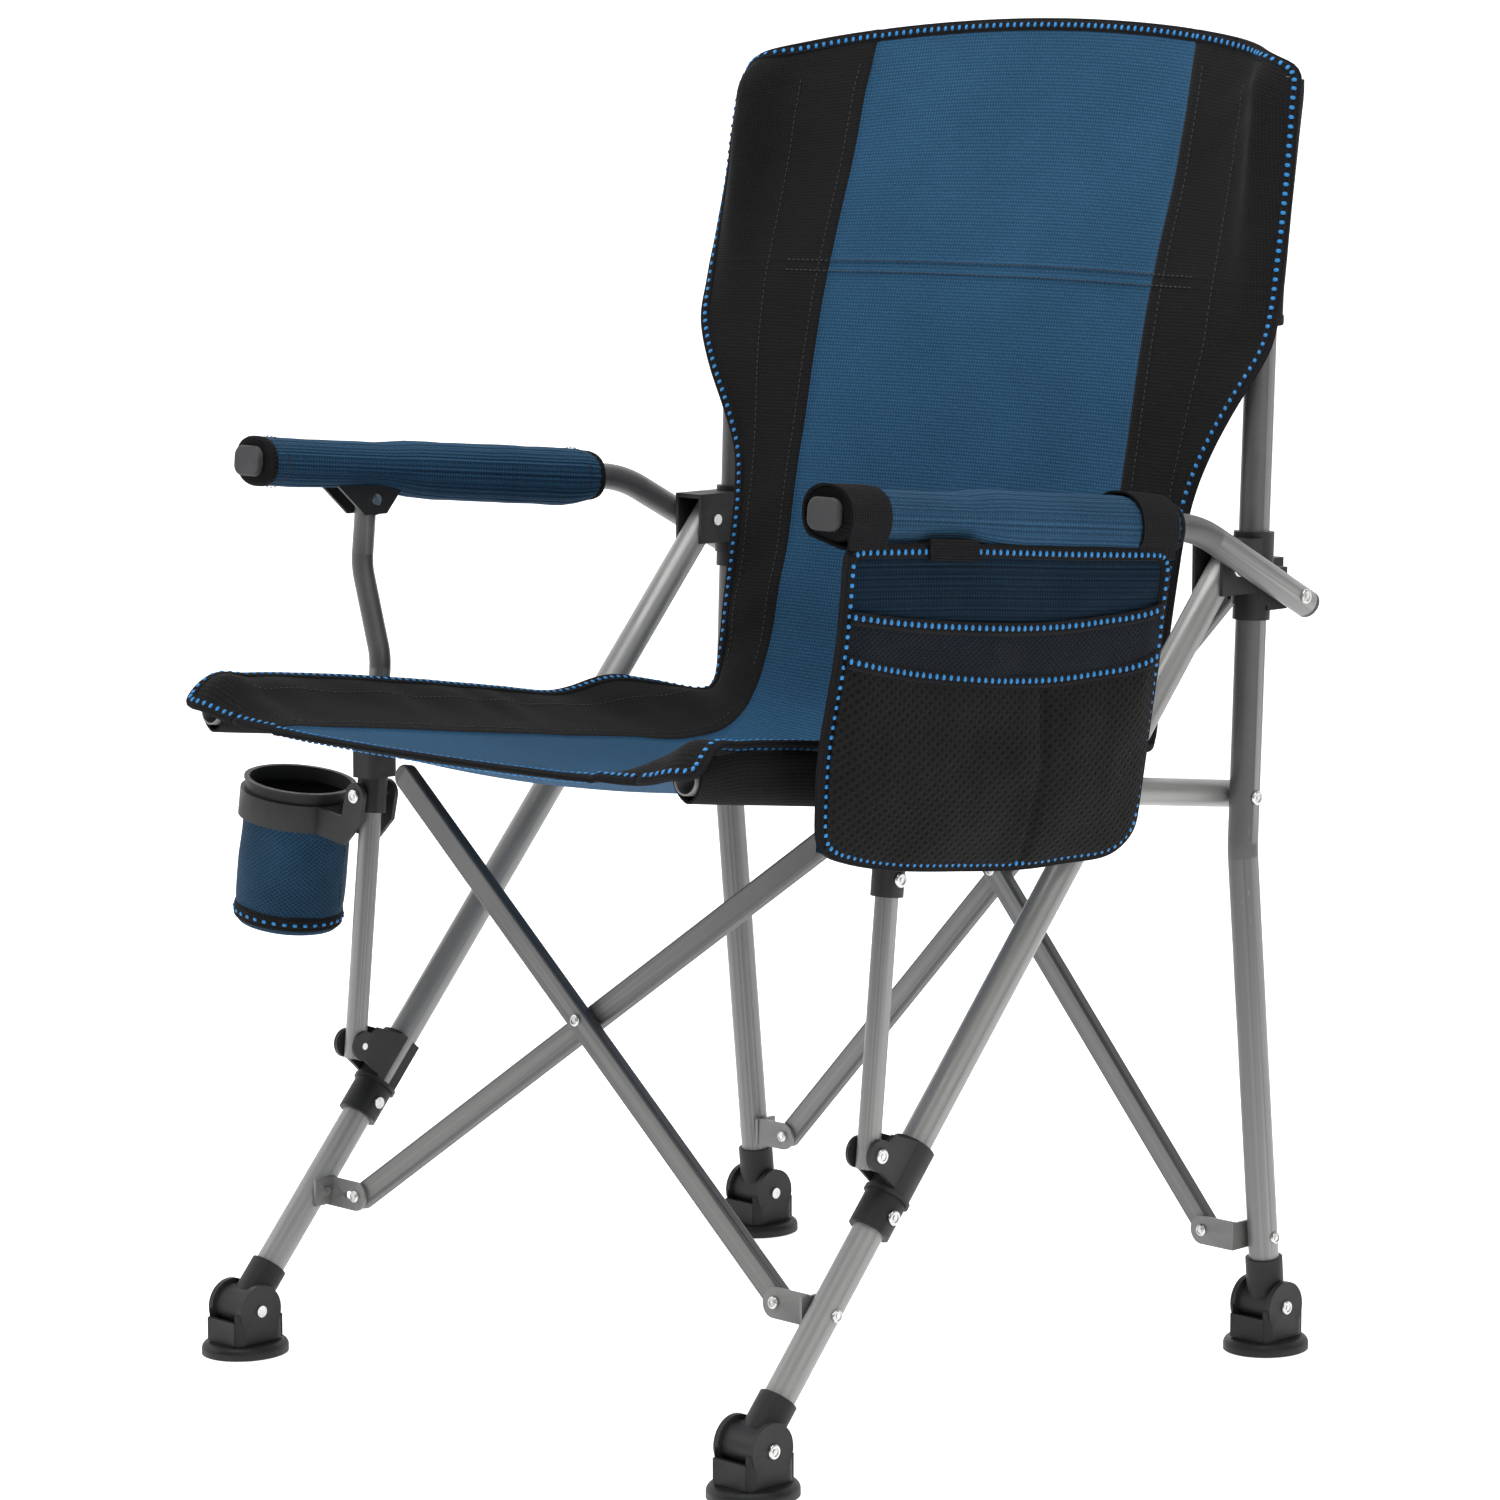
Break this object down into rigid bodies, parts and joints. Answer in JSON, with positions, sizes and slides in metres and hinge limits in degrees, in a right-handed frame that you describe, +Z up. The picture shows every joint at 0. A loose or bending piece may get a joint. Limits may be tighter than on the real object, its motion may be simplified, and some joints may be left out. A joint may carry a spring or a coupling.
{
  "type": "folding camp chair",
  "caption": "Folding camp chair with crossed steel bars front and back, sling seat and back, padded arms, side pocket and cup holder.",
  "frame": {"origin": "on the floor under the middle of the whole chair with its cup holder and pocket; the middle of the seat is at X = +35 mm", "axes": "+Z up; the front of the seat faces -Y; +X is the sitter's left, the pocket side; the cup holder is on -X"},
  "size_m": [0.728, 0.6144, 0.966],
  "materials": {
    "steel": "satin grey powder coat",
    "strap": "satin black powder coat",
    "plastic": "moulded black plastic",
    "zinc": "bright zinc rivets",
    "black_cloth": "black polyester weave",
    "blue_cloth": "denim blue polyester weave",
    "mesh": "black open mesh",
    "blue_mesh": "blue mesh cloth"
  },
  "bodies": {
    "left_post": {"left_back_post": "steel", "left_rear_foot_ferrule": "plastic", "left_rear_bracket": "strap", "left_post_rivets": "zinc", "back_fabric": "blue_cloth"},
    "rear_bar_a": {"rear_cross_bar_a": "steel", "rear_bar_a_rivets": "zinc"},
    "rear_bar_b": {"rear_cross_bar_b": "steel", "rear_bar_b_rivets": "zinc"},
    "right_hub": {"right_post_hub": "plastic"},
    "left_hub": {"left_post_hub": "plastic"},
    "right_post": {"right_back_post": "steel", "right_rear_foot_ferrule": "plastic", "right_rear_bracket": "strap", "right_post_rivets": "zinc"},
    "left_rail": {"left_seat_rail": "steel", "seat_fabric": "blue_cloth"},
    "right_rail": {"right_seat_rail": "steel"},
    "front_bar_a": {"front_cross_bar_a": "steel", "front_bar_a_rivets": "zinc"},
    "front_bar_b": {"front_cross_bar_b": "steel", "front_bar_b_rivets": "zinc"},
    "cup_holder": {"cup_ring": "plastic", "cup_bag": "blue_mesh", "cup_rivets": "zinc"},
    "left_rear_foot_pad": {"left_rear_foot": "plastic"},
    "left_front_foot_pad": {"left_front_foot": "plastic"},
    "left_leg": {"left_front_leg": "steel", "left_front_foot_ferrule": "plastic", "left_leg_stop_collar": "plastic", "left_leg_rivets": "zinc"},
    "left_sleeve": {"left_leg_sleeve": "plastic"},
    "left_support": {"left_support_tube": "steel", "left_seat_hub": "plastic", "left_support_rivets": "zinc"},
    "left_arm": {"left_arm_tube": "steel", "left_arm_end_caps": "plastic", "left_arm_bracket": "strap", "left_arm_pad": "blue_cloth", "left_arm_rivets": "zinc", "pocket_back": "black_cloth", "pocket_pouch": "mesh", "pocket_loops": "black_cloth"},
    "left_bracket": {"left_front_bracket": "strap"},
    "right_rear_foot_pad": {"right_rear_foot": "plastic"},
    "right_front_foot_pad": {"right_front_foot": "plastic"},
    "right_leg": {"right_front_leg": "steel", "right_front_foot_ferrule": "plastic", "right_leg_stop_collar": "plastic", "right_leg_rivets": "zinc"},
    "right_sleeve": {"right_leg_sleeve": "plastic"},
    "right_support": {"right_support_tube": "steel", "right_seat_hub": "plastic", "right_support_rivets": "zinc"},
    "right_arm": {"right_arm_tube": "steel", "right_arm_end_caps": "plastic", "right_arm_bracket": "strap", "right_arm_pad": "blue_cloth", "right_arm_rivets": "zinc"},
    "right_bracket": {"right_front_bracket": "strap"}
  },
  "joints": [
    {"name": "fold", "type": "hinge", "parent": "left_post", "child": "rear_bar_a", "pos_m": [0.256, 0.263, 0.085], "axis": [0, 0.9994, -0.0349], "range_deg": [0, 33.53], "deforming": ["seat_fabric", "back_fabric"]},
    {"name": "rear_cross_pin", "type": "hinge", "parent": "rear_bar_a", "child": "rear_bar_b", "pos_m": [0.035, 0.27142, 0.326], "axis": [0, 0.9994, -0.0349], "range_deg": [-67.07, 0]},
    {"name": "right_hub_pin", "type": "hinge", "parent": "rear_bar_a", "child": "right_hub", "pos_m": [-0.186, 0.27983, 0.567], "axis": [0, 0.9994, -0.0349], "range_deg": [-33.53, 0]},
    {"name": "right_post_pin", "type": "hinge", "parent": "rear_bar_b", "child": "right_post", "pos_m": [-0.186, 0.263, 0.085], "axis": [0, 0.9994, -0.0349], "range_deg": [0, 33.53]},
    {"name": "left_hub_pin", "type": "hinge", "parent": "rear_bar_b", "child": "left_hub", "pos_m": [0.256, 0.27983, 0.567], "axis": [0, 0.9994, -0.0349], "range_deg": [0, 33.53]},
    {"name": "left_leg_pin", "type": "hinge", "parent": "left_hub", "child": "left_leg", "pos_m": [0.297, 0.214, 0.58], "axis": [1, 0, 0], "range_deg": [0, 30.84]},
    {"name": "left_sleeve_slide", "type": "slide", "parent": "left_leg", "child": "left_sleeve", "axis": [0, 0.6549, 0.7557], "range_m": [0, 0.25212]},
    {"name": "left_support_pin", "type": "hinge", "parent": "left_sleeve", "child": "left_support", "pos_m": [0.297, -0.1505, 0.213], "axis": [1, 0, 0], "range_deg": [0, 10.55]},
    {"name": "left_arm_pin", "type": "hinge", "parent": "left_support", "child": "left_arm", "pos_m": [0.3246, -0.1107, 0.615], "axis": [1, 0, 0], "range_deg": [-47.49, 0]},
    {"name": "left_rail_pin", "type": "hinge", "parent": "left_post", "child": "left_rail", "pos_m": [0.2757, 0.2418, 0.413], "axis": [1, 0, 0], "range_deg": [-41.34, 0]},
    {"name": "left_bracket_pin", "type": "hinge", "parent": "left_leg", "child": "left_bracket", "pos_m": [0.297, -0.19255, 0.11084], "axis": [1, 0, 0], "range_deg": [-10.36, 0]},
    {"name": "right_leg_pin", "type": "hinge", "parent": "right_hub", "child": "right_leg", "pos_m": [-0.227, 0.214, 0.58], "axis": [1, 0, 0], "range_deg": [0, 30.84]},
    {"name": "right_sleeve_slide", "type": "slide", "parent": "right_leg", "child": "right_sleeve", "axis": [0, 0.6549, 0.7557], "range_m": [0, 0.25212]},
    {"name": "right_support_pin", "type": "hinge", "parent": "right_sleeve", "child": "right_support", "pos_m": [-0.227, -0.1505, 0.213], "axis": [1, 0, 0], "range_deg": [0, 10.55]},
    {"name": "right_arm_pin", "type": "hinge", "parent": "right_support", "child": "right_arm", "pos_m": [-0.2546, -0.1107, 0.615], "axis": [1, 0, 0], "range_deg": [-47.49, 0]},
    {"name": "right_rail_pin", "type": "hinge", "parent": "right_post", "child": "right_rail", "pos_m": [-0.2057, 0.2418, 0.413], "axis": [1, 0, 0], "range_deg": [-41.34, 0]},
    {"name": "right_bracket_pin", "type": "hinge", "parent": "right_leg", "child": "right_bracket", "pos_m": [-0.227, -0.19255, 0.11084], "axis": [1, 0, 0], "range_deg": [-10.36, 0]},
    {"name": "front_bar_pin", "type": "hinge", "parent": "left_bracket", "child": "front_bar_a", "pos_m": [0.256, -0.1856, 0.11], "axis": [0, 0.9892, -0.1465], "range_deg": [0, 43.22]},
    {"name": "front_cross_pin", "type": "hinge", "parent": "front_bar_a", "child": "front_bar_b", "pos_m": [0.035, -0.16205, 0.269], "axis": [0, 0.9892, -0.1465], "range_deg": [-86.43, 0]},
    {"name": "left_rear_foot_swivel", "type": "hinge", "parent": "left_post", "child": "left_rear_foot_pad", "pos_m": [0.297, 0.275, 0.033], "axis": [1, 0, 0], "range_deg": [-12, 12]},
    {"name": "left_front_foot_swivel", "type": "hinge", "parent": "left_leg", "child": "left_front_foot_pad", "pos_m": [0.297, -0.26, 0.033], "axis": [1, 0, 0], "range_deg": [-12, 12]},
    {"name": "right_rear_foot_swivel", "type": "hinge", "parent": "right_post", "child": "right_rear_foot_pad", "pos_m": [-0.227, 0.275, 0.033], "axis": [1, 0, 0], "range_deg": [-12, 12]},
    {"name": "right_front_foot_swivel", "type": "hinge", "parent": "right_leg", "child": "right_front_foot_pad", "pos_m": [-0.227, -0.26, 0.033], "axis": [1, 0, 0], "range_deg": [-12, 12]},
    {"name": "cup_holder_lift", "type": "hinge", "parent": "right_support", "child": "cup_holder", "pos_m": [-0.227, -0.13209, 0.399], "axis": [0, 1, 0], "range_deg": [0, 71]}
  ],
  "couplings": [
    {"joint": "rear_cross_pin", "follows": "fold", "ratio": -2},
    {"joint": "right_hub_pin", "follows": "fold", "ratio": -1},
    {"joint": "right_post_pin", "follows": "fold", "ratio": 1},
    {"joint": "left_hub_pin", "follows": "fold", "ratio": 1},
    {"joint": "left_leg_pin", "follows": "fold", "ratio": 0.91978},
    {"joint": "left_sleeve_slide", "follows": "fold", "m_per_rad": 0.43076},
    {"joint": "left_support_pin", "follows": "fold", "ratio": 0.31445},
    {"joint": "left_arm_pin", "follows": "fold", "ratio": -1.4161},
    {"joint": "left_rail_pin", "follows": "fold", "ratio": -1.2329},
    {"joint": "left_bracket_pin", "follows": "fold", "ratio": -0.309},
    {"joint": "right_leg_pin", "follows": "fold", "ratio": 0.91978},
    {"joint": "right_sleeve_slide", "follows": "fold", "m_per_rad": 0.43076},
    {"joint": "right_support_pin", "follows": "fold", "ratio": 0.31445},
    {"joint": "right_arm_pin", "follows": "fold", "ratio": -1.4161},
    {"joint": "right_rail_pin", "follows": "fold", "ratio": -1.2329},
    {"joint": "right_bracket_pin", "follows": "fold", "ratio": -0.309},
    {"joint": "front_bar_pin", "follows": "fold", "ratio": 1.2887},
    {"joint": "front_cross_pin", "follows": "fold", "ratio": -2.5774}
  ]
}
